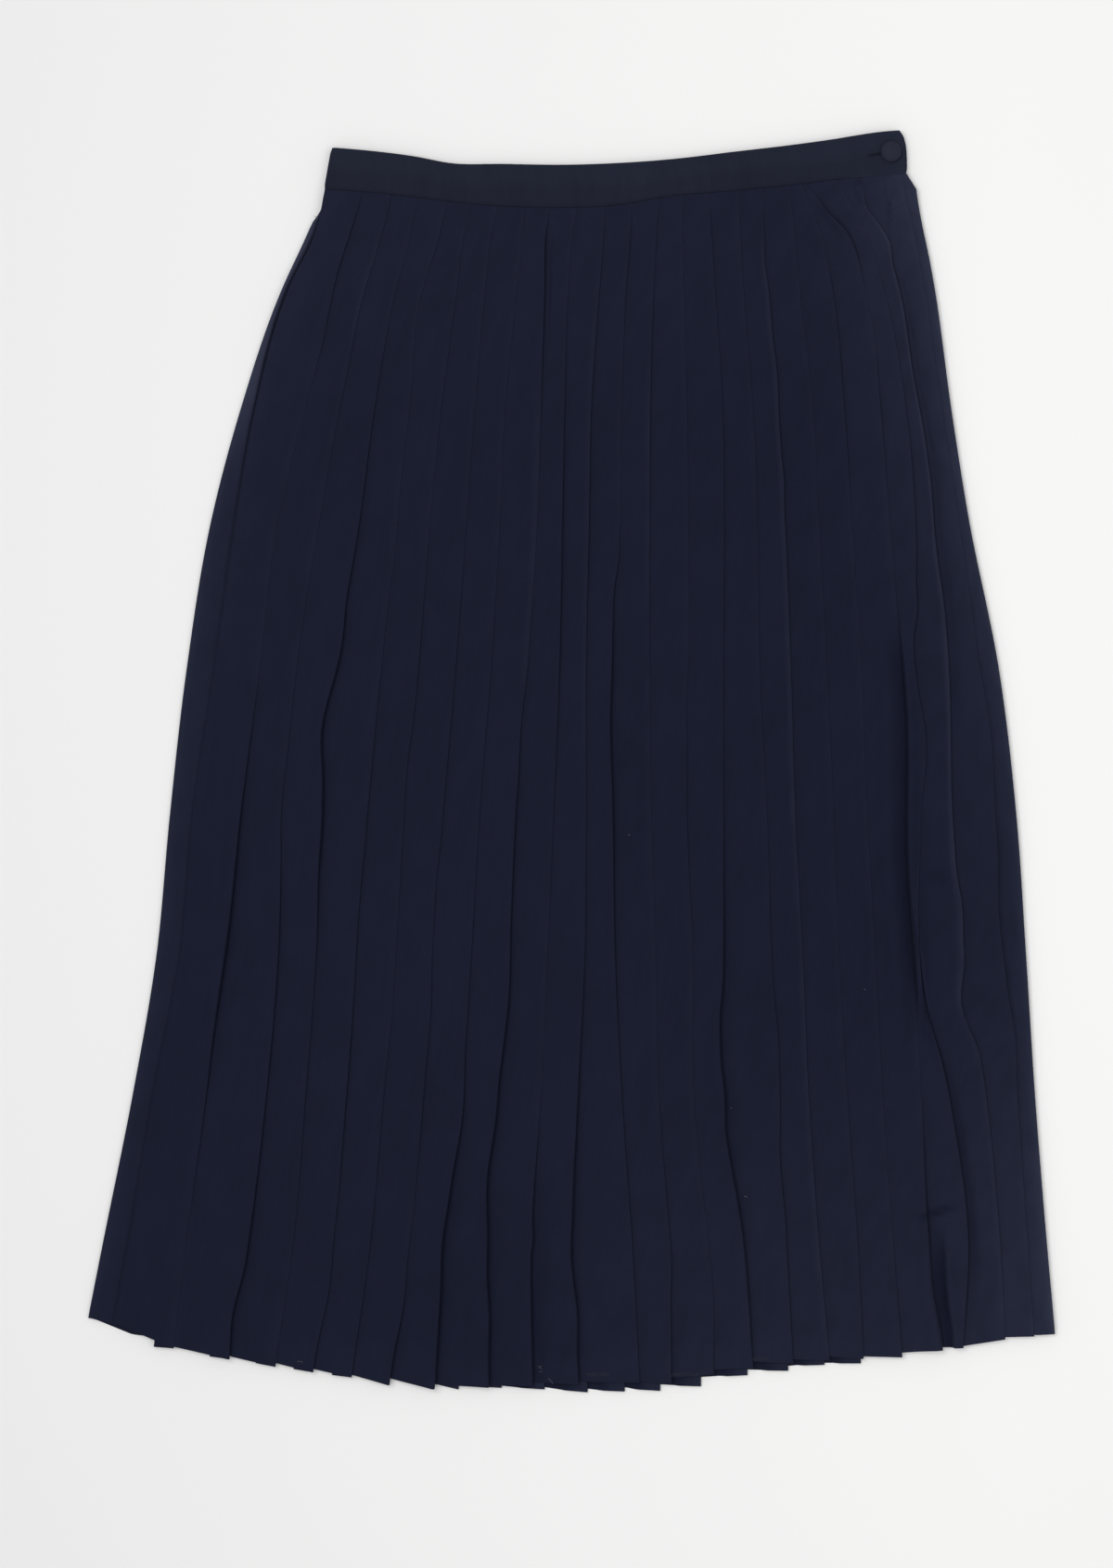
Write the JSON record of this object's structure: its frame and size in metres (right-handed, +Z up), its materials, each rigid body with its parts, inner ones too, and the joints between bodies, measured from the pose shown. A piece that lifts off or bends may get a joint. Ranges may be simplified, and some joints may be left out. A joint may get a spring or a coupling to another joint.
{
  "type": "pleated skirt",
  "caption": "Knife-pleated midi skirt laid out flat, with a narrow waistband fastened at the side by a covered button.",
  "frame": {"origin": "middle of the skirt's footprint, on the surface that it lies on", "axes": "+X towards the buttoned side, +Y towards the waistband, +Z up out of the front panel"},
  "size_m": [0.652, 0.85, 0.0125],
  "materials": {
    "skirt_cloth": "matt navy crepe with a faint soft sheen",
    "waistband_cloth": "the same navy crepe, faced and pressed flat",
    "button_cloth": "navy crepe drawn tight over a domed button"
  },
  "bodies": {
    "root": {"front_panel": "skirt_cloth", "back_panel": "skirt_cloth", "waistband": "waistband_cloth", "button": "button_cloth"}
  },
  "joints": []
}
